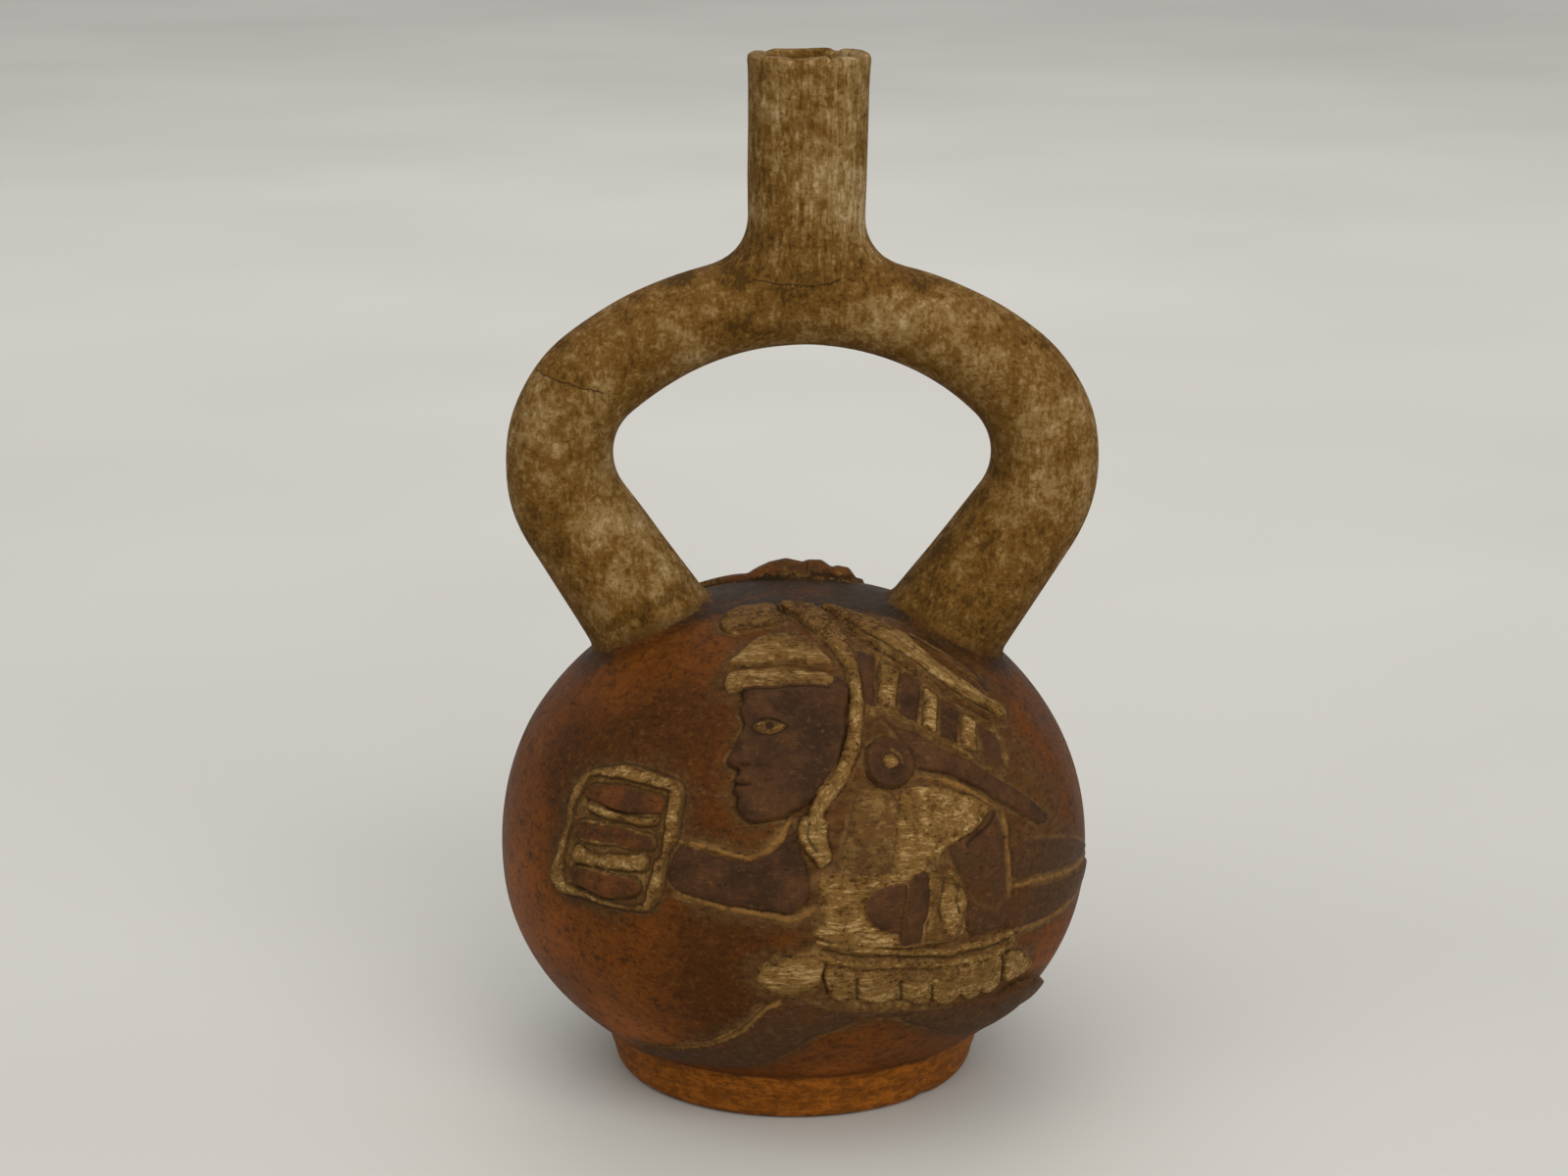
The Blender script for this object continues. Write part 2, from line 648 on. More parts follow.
headdress = dict(
    cap=[
        (-19, 64.6), (-16.4, 68), (-13.8, 71.8), (-10.4, 74.8), (-6, 76.4), (-1.2, 76.6), (3, 75),
        (6, 72.2), (8.8, 68.4), (10.6, 64.8), (4.1, 65.4), (-2.4, 66.2), (-6.3, 66.2), (-12, 65.4),
    ],
    browBand=[
        (-18.2, 58.4), (-17.3, 61.5), (-13.9, 62.9), (-3.7, 63.6), (1.4, 62.5), (6.5, 62.1), (10, 60.6),
        (9, 57.1), (4.8, 57.3), (-1.1, 57.5), (-8.4, 56.8), (-12.8, 56.5), (-17.2, 56.3),
    ],
    leaf=[
        (-24.1, 81.9), (-22.3, 88.2), (-17.8, 91.1), (-11, 92.4), (-6.6, 91.9), (-4.3, 85.5),
        (-3.4, 81.6), (-8.8, 79.8), (-15.7, 78), (-19.1, 77.3), (-21.8, 78.9),
    ],
    leafFold=[(-24.1, 81.4), (-20, 76.3), (-16.5, 74.9), (-12, 76.1), (-8.5, 78.4), (-3.3, 80.2)],
    strap=[
        (-3.6, 90.6, 1.9), (2, 88.2, 4), (6.3, 84, 4.6), (10.4, 78.2, 3.6), (13, 72.6, 2.7),
        (14.9, 66.4, 2.1), (15.8, 60.4, 1.8), (15.7, 53.6, 1.8), (14.6, 46, 1.8), (12.9, 40.2, 1.8),
        (10.3, 35.2, 2), (7.7, 31.8, 2), (5.6, 28.4, 1.8), (4.8, 26.2, 1.6),
    ],
    tab=[
        (2.6, 26.6), (1.3, 25.3), (0.7, 22.7), (1.8, 20.2), (4.1, 17.1), (5.5, 15.8), (6.4, 15.9),
        (8.1, 17.6), (7.4, 20.4), (7.3, 24), (6.5, 26.4),
    ],
)


def modelHeaddress(r):
    r.area(headdress["leaf"], "cream", 1.0, crown=0.35)
    r.cut(headdress["leafFold"], 0.6, 0.55)
    r.cut([(-4.8, 91.5), (-2.6, 86.5), (-1.2, 82.6)], 0.6, 0.5)
    r.area(headdress["cap"], "cream", 1.2, crown=0.5)
    r.area(headdress["browBand"], "cream", 1.5, crown=0.35)
    r.cut([(-16, 64.2), (-11, 64.8), (-3, 65.3), (3, 64.3), (8.6, 63.1)], 0.4, 0.55)
    r.cut([(-17.4, 55.4), (-12.8, 55.6), (-8.4, 56), (-1.1, 56.6), (4.8, 56.5), (9, 56.1)], 0.4, 0.45)
    r.stroke(headdress["strap"], "cream", 1.5, crown=0.5, grained=True)
    r.area(headdress["tab"], "cream", 1.7, crown=0.3)
    r.cut([(3.4, 24.8), (3, 21.8), (4.7, 18.7)], 0.5, 0.35)


earSpool = dict(x=22.1, y=37.9, radius=5.9, boss=1.3)
wing = dict(
    outline=[
        (9.8, 90.8), (13.3, 90), (18.8, 87.3), (26.8, 82.6), (31.4, 79.3), (35, 74.9), (38.9, 69.1),
        (43.8, 63.4), (49.5, 58.5), (53.4, 55.2), (58, 52.8), (60.2, 50), (59.8, 47.4), (57.3, 46.4),
        (53.2, 48.5), (49, 50.8), (43.1, 54.8), (37.9, 60.4), (34.2, 63.3), (30.2, 65.2), (27.4, 68.3),
        (24.4, 70.4), (21.8, 75.7), (17.4, 79.4), (13.7, 85.9),
    ],
    grain=[(9, 90, 1), (22, 80, 1), (33, 70, 1), (45, 58, 1), (60, 47, 1)],
    ridge=[
        (16, 83), (20, 78.6), (24.6, 73.8), (30, 69), (36, 63.6), (42.6, 57), (49, 52.4), (55.6, 48.8),
    ],
    under=[
        (16, 83), (20, 78.6), (24.6, 73.8), (30, 69), (36, 63.6), (42.6, 57), (49, 52.4), (55.6, 48.8),
        (57.3, 46), (53.2, 47.6), (49, 50), (43.1, 54), (37.9, 59.4), (34.2, 62.3), (30.2, 64.4),
        (27, 67.4), (23.6, 70), (21, 75), (17, 79),
    ],
    ground=[
        (17, 76), (24, 68), (35, 58.5), (46, 49.5), (56, 45.4), (56.4, 34), (47, 35.4), (40.5, 40.6),
        (34.4, 43), (24.5, 49.4), (16.6, 52),
    ],
    rail=[
        (20.2, 72, 0.5), (24.3, 68.2, 0.8), (29.9, 63.7, 0.8), (35.1, 58.5, 0.8), (40.5, 54, 0.8),
        (46.4, 50.4, 0.8), (52.7, 47.3, 0.8), (59.9, 46.3, 0.4),
    ],
    groove=[(21.4, 73.6), (25.8, 68.6), (30, 65), (35.6, 60), (42, 54.4), (48.6, 50.2), (56.6, 45.9)],
    upperStripe=[
        (31, 84, 1.2), (35, 80.6, 1.8), (41, 74.8, 2), (48.9, 69, 1.8), (54.3, 62.8, 1.6),
        (57.5, 57.5, 0.8),
    ],
    upperLine=[(37.1, 77.4, 0.4), (43.4, 72, 0.6), (49.6, 67, 0.6), (54.6, 61.4, 0.4)],
    feathers=[
        ("dark", [(18.6, 70.4), (22.8, 68), (20.4, 52.4), (17.6, 53.8)]),
        ("cream", [(24, 66.2), (29.4, 62.4), (25.6, 51.4), (21.8, 52.6)]),
        ("dark", [(30.2, 61.6), (34.6, 58.4), (31, 47.8), (26.6, 50.2)]),
        ("cream", [(35.4, 57.6), (38.8, 54.8), (35.4, 45.4), (32.4, 46.6)]),
        ("dark", [(39.6, 53.8), (44.2, 50.6), (41, 42), (36.8, 44)]),
        ("cream", [(45, 49.6), (48.6, 47.4), (46, 39), (42.4, 40.6)]),
        ("dark", [(49.8, 46.4), (54.4, 43.4), (54.2, 34.4), (47.6, 36.6)]),
    ],
    featherRail=[
        (20.6, 51, 0.4), (24.5, 49.4, 0.7), (30.1, 46.2, 0.7), (34.4, 43.1, 0.7), (40.5, 40.8, 0.7),
        (43.6, 38.2, 0.6), (47.2, 35, 0.6), (53.8, 33.2, 0.4),
    ],
    longFeather=[
        (21.8, 49.2), (24.8, 46.6), (31.1, 43.9), (35.8, 40.8), (42.1, 37.6), (47.6, 34), (53.1, 30.6),
        (59.6, 26.5), (65.2, 22.2), (67.3, 20.2), (66.5, 18.6), (62.5, 19.1), (58.5, 21.4), (52, 25.6),
        (47.4, 28.5), (43, 30.9), (38.8, 33.2), (34.7, 34.6), (30.6, 35.7), (28.3, 36.5), (28.4, 40),
        (25.9, 42.9), (23.8, 45.8),
    ],
    underLine=[
        (29, 34.7, 0.3), (34.4, 33, 0.6), (38.6, 31.7, 0.6), (42.7, 29.4, 0.6), (47, 26.6, 0.5),
        (51.6, 23.7, 0.3),
    ],
)


def modelWing(r):
    r.stroke(wing["upperStripe"], "dark", 0.35, crown=0)
    r.stroke(wing["upperLine"], "tan", 0.45, soft=0.4, crown=0)
    distance = r.area(wing["outline"], "cream", 1.5, crown=0.45)
    run, aside = strokeOf(r.spots, wing["grain"])[1:]
    on = distance < 0.6
    r.grain[on] = np.column_stack([run, aside])[on]
    r.stain(wing["under"], "tan")
    r.cut(wing["ridge"], 0.55, 0.8)
    r.stain(wing["ground"], "tan")
    r.stroke(wing["rail"], "tan", 0.9, soft=0.4, crown=0.1)
    r.press(strokeOf(r.spots, [(x, y, 0.0) for x, y in wing["groove"]])[0], 0.5, 0.4)
    for slip, outline in wing["feathers"]:
        r.area(outline, slip, 0.6 if slip == "dark" else 1.0, smooth=False, soft=0.4, crown=0.15)
        r.cutRound(outline, 0.3, 0.35, smooth=False)
    r.stroke(wing["featherRail"], "tan", 0.8, soft=0.4, crown=0.1)
    r.area(wing["longFeather"], "dark", 1.1, crown=0.2)
    r.stroke(wing["underLine"], "ochre", 0.7, soft=0.4, crown=0)
    r.cut([(29.4, 36.1), (38.8, 33), (47.4, 28.2), (58.5, 21)], 0.4, 0.3)
    spool = strokeOf(r.spots, [(earSpool["x"], earSpool["y"], earSpool["radius"]),
                               (earSpool["x"] + 0.1, earSpool["y"], earSpool["radius"])], False)[0]
    r.build(spool, 1.9, soft=0.6, crown=0.2)
    r.paint(spool, "dark")
    hollow = spool + 2.2
    r.height = r.height - 0.5 * ramp(-hollow, -0.9, 1.1)
    boss = spool + earSpool["radius"] - earSpool["boss"] - 0.3
    r.build(boss, 0.9, soft=0.4, crown=0.4, over=True)
    r.paint(boss, "cream")
    arc = [(earSpool["x"] + 2.9 * math.cos(turn), earSpool["y"] + 2.9 * math.sin(turn), 0.3)
           for turn in (-0.2, 0.3, 0.8, 1.3)]
    r.stroke(arc, "tan", 0.25, soft=0.3, crown=0, over=True)


tunic = dict(
    cape=[
        (23.2, 29.8), (26, 31.5), (30.1, 31.9), (34.2, 31.3), (38.3, 29.8), (42.6, 28.3), (46, 26.4),
        (48.2, 24.8), (45, 22.9), (41.5, 20.4), (37, 18.7), (34.5, 18.3), (32.7, 16.2), (31, 14.6),
        (22.5, 14), (22.6, 22.1),
    ],
    shoulder=[
        (13.9, 30.9), (18.4, 32.2), (23.2, 29.8), (22.6, 22.1), (22.5, 14), (14, 13.4), (9.6, 14.1),
        (11, 20),
    ],
    torso=[
        (4.6, 12.6), (8.7, 14.4), (14, 15), (22.5, 15.2), (31, 15.4), (34.5, 14), (38, 9), (39, 2),
        (37, -3.4), (22, -3.4), (5.4, -0.2), (5.6, 4), (5.9, 7.8),
    ],
    leftLobe=[
        (15.2, 6.9), (16.1, 9.1), (18.8, 10.6), (23.9, 11.1), (24.3, 8.4), (22.9, 2.2), (22.4, 0.4),
        (17.5, 1.8), (15.2, 4.7),
    ],
    rightLobe=[
        (24.8, 11.9), (26.8, 13.4), (28.7, 13.2), (29.3, 10.5), (29, 4.6), (28.1, 1), (27.2, -2.6),
        (22.9, -2.5), (22.4, 0.4), (24.3, 6.6),
    ],
    tassel=[
        (34.7, 13.4), (36.6, 9.9), (38.4, 5.4), (37.6, 1.8), (36.1, -1.8), (34.5, -2), (32.5, 0.8),
        (31, 4.3), (31.5, 7.9), (33.1, 10.9),
    ],
    tasselGround=[
        (28.6, 15.2), (33, 15), (35.6, 13), (38.2, 10), (39.4, 5), (38.6, 1), (36.6, -3), (28.6, -3),
        (29.6, 3), (29.8, 10),
    ],
    hipShade=[
        (36.6, 18.4), (41.5, 20.4), (45, 22.9), (48.2, 25), (49.6, 22), (50, 13.6), (47.6, 13.4),
        (44.6, 15.8), (41, 15.4),
    ],
    hipLine=[(51, 24.4, 0.3), (51.6, 16, 0.45), (51.6, 7, 0.45), (51.2, -3.4, 0.3)],
    hipPanel=[
        (34.5, 18.3), (37, 18.7), (41.5, 20.4), (45, 22.9), (48, 24.8), (49.3, 22.1), (50.1, 17),
        (50.2, 11.2), (50.1, 3.4), (49.6, -3), (40, -3.2), (39.2, 2), (38.8, 8), (36.5, 13),
    ],
    sidePanel=[
        (53.6, 15.2), (66, 14.6), (80, 10.6), (92, 5.4), (98, 1.4), (84, 3), (66, 5.8), (53.1, 7.5),
    ],
    sideLine=[(52.6, 5.6, 0.4), (66, 4, 0.6), (84, 1.2, 0.6), (98, -1, 0.4)],
    sideFlap=[
        (51.6, 3.6), (66, 2.4), (82, -0.4), (96, -2.6), (99, -4), (92, -5.6), (82, -6.4), (66, -6.4),
        (51.6, -5.2),
    ],
    flapLine=[(51.8, -6, 0.5), (66, -7.6, 0.8), (82, -8, 0.7), (96, -6.4, 0.4)],
)


def modelTunic(r):
    r.area(tunic["torso"], "cream", 1.0, crown=0.2)
    r.area(tunic["shoulder"], "tan", 0.9, crown=0.1)
    r.area(tunic["cape"], "cream", 1.1, crown=0.3)
    r.area(tunic["hipPanel"], "grey", 1.0, crown=0.25)
    r.stain(tunic["hipShade"], "dark")
    r.stroke(tunic["hipLine"], "ochre", 0.7, soft=0.4, crown=0)
    r.cut([(39.6, 17.8), (43, 20), (46.6, 22.2), (48.6, 24.6)], 0.5, 0.35)
    r.cut([(52.4, 24), (52.8, 16), (52.9, 8), (52.6, -3)], 0.4, 0.4)
    r.area(tunic["sidePanel"], "grey", 0.5, crown=0.1)
    r.stroke(tunic["sideLine"], "ochre", 0.5, soft=0.4, crown=0)
    r.area(tunic["sideFlap"], "grey", 0.8, crown=0.2)
    r.stroke(tunic["flapLine"], "ochre", 0.6, soft=0.4, crown=0)
    r.stain(tunic["tasselGround"], "tan")
    lobe = r.area(tunic["leftLobe"], "dark", 0.3, soft=0.4, crown=0.4, over=True)
    r.press(lobe - 0.5, 0.5, 0.3)
    r.area(tunic["rightLobe"], "dark", 0.35, soft=0.4, crown=0.45, over=True)
    r.cut([(23.9, 10.6), (24.2, 7.6), (23, 2.4), (22.7, -1)], 0.3, 0.3)
    r.area(tunic["tassel"], "cream", 0.7, soft=0.5, crown=0.4, over=True)
    r.cut([(33.2, 11.6), (31.9, 8), (31.3, 4.4), (32.8, 0.8)], 0.35, 0.3)
    r.cut([(34.8, 11.5), (35.8, 8.4), (35.4, 5.4), (36.4, 2.6)], 0.35, 0.4)


kilt = dict(
    outline=[
        (-8.4, -9.2), (-5, -5), (3, -3), (6, -0.2), (22, -4), (40, -5.6), (53, -5.6), (55, -11),
        (59.5, -14.6), (61.4, -19), (56, -20.8), (48, -22), (33, -20.7), (15.8, -17.5), (2.3, -14.3),
        (-6.3, -12.6),
    ],
    beltRails=[
        [
            (5.3, -0.8, 0.5), (10.9, -1.9, 0.7), (17.5, -3.4, 0.7), (24.4, -5, 0.7), (31.7, -6, 0.7),
            (39.4, -6.4, 0.7), (48.1, -6.6, 0.7), (52.6, -6.2, 0.4),
        ],
        [
            (4, -4.3, 0.5), (10.9, -5.6, 0.8), (19.8, -7.2, 0.8), (29.3, -8.6, 0.8), (39.7, -9.9, 0.8),
            (48.5, -10.2, 0.8), (53, -10, 0.4),
        ],
    ],
    beltGroove=[
        (6, -2.6), (13, -4), (20.7, -5.3), (26.8, -6.5), (34.2, -7.6), (42.3, -8.1), (52.3, -7.8),
    ],
    tabs=[
        [
            (-8.1, -9.3), (-5.5, -5.9), (-2, -4.4), (2.3, -4), (6.4, -5.5), (6.2, -7.7), (4.5, -10.6),
            (1, -12.7), (-2.1, -13.2), (-6, -11.7),
        ],
        [
            (7, -7), (12.7, -7.6), (13.1, -11.2), (12.5, -14.3), (10.3, -15.8), (7.6, -13.4),
            (6.2, -10.2),
        ],
        [(14, -8.4), (22.6, -9), (23, -12.4), (22.2, -16.2), (17.6, -16.6), (14.7, -14.6)],
        [(24.1, -9.4), (30.4, -10.1), (31, -18.4), (25.7, -18), (24.3, -12.7)],
        [(31.6, -10.4), (37.4, -11), (38.2, -19.8), (32.2, -19.2)],
        [(38.6, -11.2), (43.4, -11.4), (44.2, -21), (39.4, -20.3)],
        [(44.6, -11.6), (49.4, -11.6), (50.4, -20.6), (45.4, -21.2)],
    ],
    band=[
        (6.4, -6.8), (14, -7.8), (24, -9.2), (34, -10.6), (44, -11.4), (50.4, -11.6), (51, -19.4),
        (44.8, -20.6), (38.4, -19.4), (31.4, -18.4), (24, -17), (14, -15), (7.6, -12.6),
    ],
    gaps=[
        ([(13.6, -9.4), (13.5, -12), (14, -15.6)], 0.5),
        ([(23.3, -11.6), (23.6, -17)], 0.6),
        ([(31.1, -14.4), (31.6, -18.8)], 0.45),
    ],
    end=[(50.4, -12.5), (54.5, -11.6), (58.9, -15), (60.8, -18.9), (56.2, -20), (51.6, -19.6)],
    line=[
        (-6.6, -12.9, 0.4), (2.3, -14.6, 0.6), (8.1, -16.4, 0.7), (15.8, -17.9, 0.7),
        (25.3, -19.3, 0.7), (33, -20.9, 0.6), (41.5, -22.2, 0.5), (48.5, -22.4, 0.4),
    ],
)


def modelKilt(r):
    r.area(kilt["outline"], "tan", 0.7, crown=0.1)
    for line in kilt["beltRails"]:
        r.stroke(line, "cream", 1.2, soft=0.45, crown=0.1)
    r.cut(kilt["beltGroove"], 0.35, 0.5)
    r.area(kilt["band"], "cream", 1.1, soft=0.5, crown=0.15)
    for outline in kilt["tabs"]:
        r.area(outline, "cream", 1.5, soft=0.5, crown=0.25)
    for line, width in kilt["gaps"]:
        r.cut(line, width, 0.35)
    r.area(kilt["end"], "cream", 1.9, soft=0.4, crown=0.3)
    r.stain([(24.6, -8), (31, -9.2), (37, -10), (37.4, -13), (31, -12.4), (24.8, -11)], "tan")
    r.stroke(kilt["line"], "tan", 0.6, soft=0.4, crown=0.1)
    r.cut([(50.2, -12), (50.6, -15), (50.8, -19)], 0.4, 0.5)
    r.cut([(6.7, -6.2), (5.9, -9), (7.2, -13)], 0.4, 0.5)


legs = dict(
    front=[
        (-2.5, -15), (-5.6, -15.5), (-8.6, -19.2), (-11.6, -23.3), (-15.6, -26.6), (-20, -31),
        (-30, -37), (-42, -42.5), (-40, -47), (-26, -45), (-13, -41.4), (-5, -36), (3.9, -27.4),
        (9.3, -24.2), (14.2, -22.1), (18.4, -21.4), (24, -22.4), (32, -21.6), (25.3, -18),
        (15.8, -16.6), (8.1, -15.2),
    ],
    ridge=[
        (-3.4, -15.3, 0.4), (-5.8, -16.2, 0.6), (-8.9, -20, 0.7), (-12, -24, 0.7), (-16.2, -27.6, 0.6),
        (-22, -32, 0.5), (-30, -36.6, 0.3),
    ],
    rear=[
        (24.6, -22.6), (33, -21.3), (41.5, -22.6), (50, -23.4), (58, -25.6), (66, -29.4), (71, -33),
        (68, -38), (58, -41), (47, -39.6), (38.3, -33.4), (31.6, -28), (26.4, -25),
    ],
    knee=[
        (50, -24.6), (57, -24.6), (63.6, -26), (69, -28.2), (71.6, -31.6), (67, -35.6), (59, -33.4),
        (51, -29),
    ],
)


def modelLegs(r):
    r.area(legs["front"], "grey", 1.1, soft=0.7, crown=0.5)
    r.area(legs["rear"], "grey", 1.1, soft=0.9, crown=0.9)
    r.area(legs["knee"], "grey", 2.1, soft=0.6, crown=0.5)
    r.stroke(legs["ridge"], "ochre", 1.3, soft=0.5, crown=0.1)
    r.cut([(-6.2, -15.8), (-9.6, -20.6), (-13, -24.6), (-18, -29), (-26, -34.2), (-36, -38.8)], 0.3, 0.55)


arm = dict(
    outline=[
        (-27.5, 14.5), (-24.6, 19.4), (-19.5, 18.1), (-15.1, 17), (-10.7, 16.6), (-6.7, 17.6),
        (-3.9, 19.6), (-2.2, 21.9), (-1, 25), (0.4, 22), (1.8, 18.2), (2.9, 14.4), (2.7, 8.8),
        (-0.7, 5.7), (-5, 6.1), (-10.6, 6.8), (-16, 7.5), (-26, 9.5),
    ],
    topLine=[
        (-26, 20.4, 0.3), (-19.3, 19, 0.45), (-11, 17.4, 0.5), (-6.9, 18.4, 0.7), (-4.3, 20.4, 0.9),
        (-2.6, 22.6, 0.8), (-1.3, 25.6, 0.4),
    ],
    underLine=[(-26, 8.6, 0.3), (-16, 6.7, 0.5), (-5, 5.1, 0.7), (0.4, 4.6, 0.9), (3.6, 6.4, 0.7)],
)


def modelArm(r):
    r.area(arm["outline"], "dark", 1.1, crown=0.45)
    r.stroke(arm["topLine"], "ochre", 0.8, soft=0.4, crown=0)
    r.stroke(arm["underLine"], "ochre", 0.7, soft=0.4, crown=0)


crest = dict(
    line=[(-24, 85.4, 1.6), (-17, 87.2, 2.4), (-9, 88.2, 3), (-1, 88.4, 3.4), (8, 87.8, 3.2), (16, 86.6, 2.6),
          (22, 84.6, 1.6)],
    fold=[(-20, 89.6), (-12, 90.6), (-4, 91.2), (6, 91), (14, 89.6), (20, 87.4)],
    across=[-23, -18.5, -14.5, -12.4, -9, -5, -3, 2.5, 8, 13.5, 19.5],
    height=[0.3, 3.2, 3.4, 2.9, 4.3, 4.2, 3.7, 4.5, 3.8, 2.3, 0.3],
)


def modelWarrior(spots, back=False):
    r = Relief(spots)
    modelLegs(r)
    modelWing(r)
    modelTunic(r)
    modelArm(r)
    modelShield(r)
    modelHead(r)
    modelHeaddress(r)
    modelKilt(r)
    if back:
        tall = np.interp(r.spots[:, 0], crest["across"], crest["height"])
        r.stroke(crest["line"], "umber", tall, soft=0.9, crown=0.2)
        fold = strokeOf(r.spots, [(x, y, 0.0) for x, y in crest["fold"]])[0]
        r.press(fold, 0.7, 0.5)
    return r


# Marks of age on the plain vessel, in mm from the foot's centre

cracks = [
    dict(start=(-58.6, -9, 164.8), end=(-41.7, -9, 160.5), back=4.0),
    dict(start=(47.2, -13, 101.5), end=(48.1, -13, 95.0), back=4.0),
    dict(start=(-62, 8, 132), end=(-52, 8, 127), back=30.0, front=2.0),
]
seam = dict(middle=0.6, half=10.2, height=184.8, curve=0.011)
dents = [
    dict(at=(-62.9, -4, 79.5), size=2.2, depth=0.7),
    dict(at=(-30, -56, 82), size=1.6, depth=0.25),
    dict(at=(24, 60, 70), size=3.0, depth=0.4),
    dict(at=(60, 12, 96), size=2.4, depth=0.35),
    dict(at=(-40, 2, 4), size=2.5, depth=0.6),
    dict(at=(30, -28, 0.5), size=2.4, depth=0.5),
    dict(at=(14, 37, 1), size=3.0, depth=0.6),
]
blushes = [  # where the burnished clay fired brighter, or below zero browner
    dict(at=(-62, -26, 48), size=22, warm=1.1),
    dict(at=(-34, -46, 18), size=20, warm=0.9),
    dict(at=(-14, -62, 36), size=11, warm=-1.3),
    dict(at=(56, -30, 26), size=18, warm=1.1),
    dict(at=(66, -6, 36), size=16, warm=0.3),
    dict(at=(-30, -48, 98), size=14, warm=-0.9),
    dict(at=(-52, -38, 82), size=15, warm=-0.6),
    dict(at=(-18, -64, 62), size=16, warm=-0.35),
    dict(at=(6, -46, 16), size=16, warm=0.8),
    dict(at=(-20, -38, 108), size=9, warm=0.7),
    dict(at=(20, 62, 30), size=22, warm=0.8),
    dict(at=(-50, 40, 70), size=22, warm=-0.5),
    dict(at=(-20, 62, 44), size=18, warm=0.3),
    dict(at=(56, 30, 80), size=20, warm=-0.5),
]
darkGround = [
    (12, 94), (22, 90), (36, 84), (54, 66), (62, 52), (72, 30), (84, 8), (86, -4), (60, -6), (40, -5),
    (10, 0), (0, 14), (-30, 12), (-26, 22), (-8, 20), (8, 32), (15, 44), (18, 60), (16, 78),
]


def crackAt(points):
    # Distance to either side of the nearest crack, and how far past its ends.
    side = np.full(len(points), farOff)
    span = np.full(len(points), farOff)
    for crack in cracks:
        start, end = np.array(crack["start"], float), np.array(crack["end"], float)
        half = np.linalg.norm(end - start) / 2
        along = (end - start) / (half * 2)
        across = np.array([-along[2], 0, along[0]])
        off = points - (start + end) / 2
        past = np.abs(off @ along) - half
        past = np.maximum(past, points[:, 1] - crack["back"])
        past = np.maximum(past, crack.get("front", -99) - points[:, 1])
        past = np.maximum(past, np.abs(off @ across) - 6)
        closer = past < span
        side[closer] = (off @ across)[closer]
        span[closer] = past[closer]
    off = points[:, 0] - seam["middle"]
    past = np.maximum(np.abs(off) - seam["half"], points[:, 1] + 5)
    below = points[:, 2] - seam["height"] - seam["curve"] * off**2
    past = np.maximum(past, np.abs(below) - 6)
    closer = past < span
    side[closer] = below[closer]
    span[closer] = past[closer]
    return side, np.minimum(span, farOff)


def carve(points):
    # Moves each point out by the relief it carries, and in where the clay is dented.
    fade = ramp(handleDistance(points), relief["clear"], relief["full"]) * (chamberDistance(points) < 4)
    away = points - np.array([0, 0, chamber["middle"]])
    away = away / np.linalg.norm(away, axis=1)[:, None]
    shift = np.zeros(len(points))
    for side in (1, -1):
        facing = np.flatnonzero((points[:, 1] * side < 0) & (fade > 0))
        figure = modelWarrior(chartOf(points[facing], side), back=side < 0)
        shift[facing] = figure.height * fade[facing]
    carved = points + away * shift[:, None]
    for dent in dents:
        off = points - np.array(dent["at"])
        deep = dent["depth"] * np.exp(-((np.linalg.norm(off, axis=1) / dent["size"]) ** 2))
        carved = carved - away * deep[:, None]
    return carved


def shellMesh():
    body = turned([(0.5, 4), *chamberProfile(0, 6, 40)], 96)
    around = foot["radius"]
    sole = turned([(around - 1, 0), (around, 1), (around + 3, foot["tuckedTop"])], 96)
    arch = handleShell(0, 32, 14)
    radius, top, bore = spout["radius"], spout["top"], spout["radius"] - spout["wall"]
    base = spout["base"]
    neck = [(radius - 2, base), (radius, base + 4), (radius, top - 1), (radius - 1, top - 0.4)]
    neck += [(bore + 0.6, top - 0.4), (bore, top - 1), (bore, top - spout["holeStart"])]
    tube = turned(neck, 48, leans=True)
    return joinShells([body, sole, arch, tube])


def hollowMeshes():
    # The room inside: chamber, the handle's bore and the spout's, and the hollow under the foot.
    inset = finish["wallInside"]
    room = turned([(0.5, inset + 4), *chamberProfile(inset, inset + 4, 20)], 56)
    arch = handleShell(handle["wall"], 22, 9)
    bore, top = spout["radius"] - spout["wall"], spout["top"]
    waist = spout["base"] + 2
    neck = [(bore * 0.45, waist), (bore * 0.62, waist + 3), (bore * 0.85, waist + 7), (bore, waist + 11)]
    throat = turned([*neck, (bore + 0.04, top - spout["holeStart"] + 3)], 40, leans=True)
    inner, hollow = foot["radius"] - foot["ring"], foot["hollow"]
    under = turned([
        (inner + 3, -2), (inner + 1.2, -0.3), (inner + 0.5, 0.3), (inner, 1.2), (inner - 0.6, hollow - 1.2),
        (inner - 1.6, hollow - 0.3), (inner - 3, hollow), (inner * 0.5, hollow + 0.3), (0.5, hollow + 0.4),
    ], 72)
    return [room, arch, throat, under]


def diffused(values, edges, rounds):
    # Evens a value out over neighbouring vertices.
    count = np.bincount(edges.ravel(), minlength=len(values)) + 1e-9
    for _ in range(rounds):
        total = np.bincount(edges[:, 0], values[edges[:, 1]], len(values))
        total += np.bincount(edges[:, 1], values[edges[:, 0]], len(values))
        values = (values + total / count) / 2
    return values


def keep(mesh, name, values):
    # Stores a number or a vector for each vertex, for the material to read.
    kind = "FLOAT_VECTOR" if values.ndim == 2 else "FLOAT"
    layer = mesh.attributes.new(name, kind, "POINT")
    layer.data.foreach_set("vector" if values.ndim == 2 else "value", values.astype(np.float32).ravel())


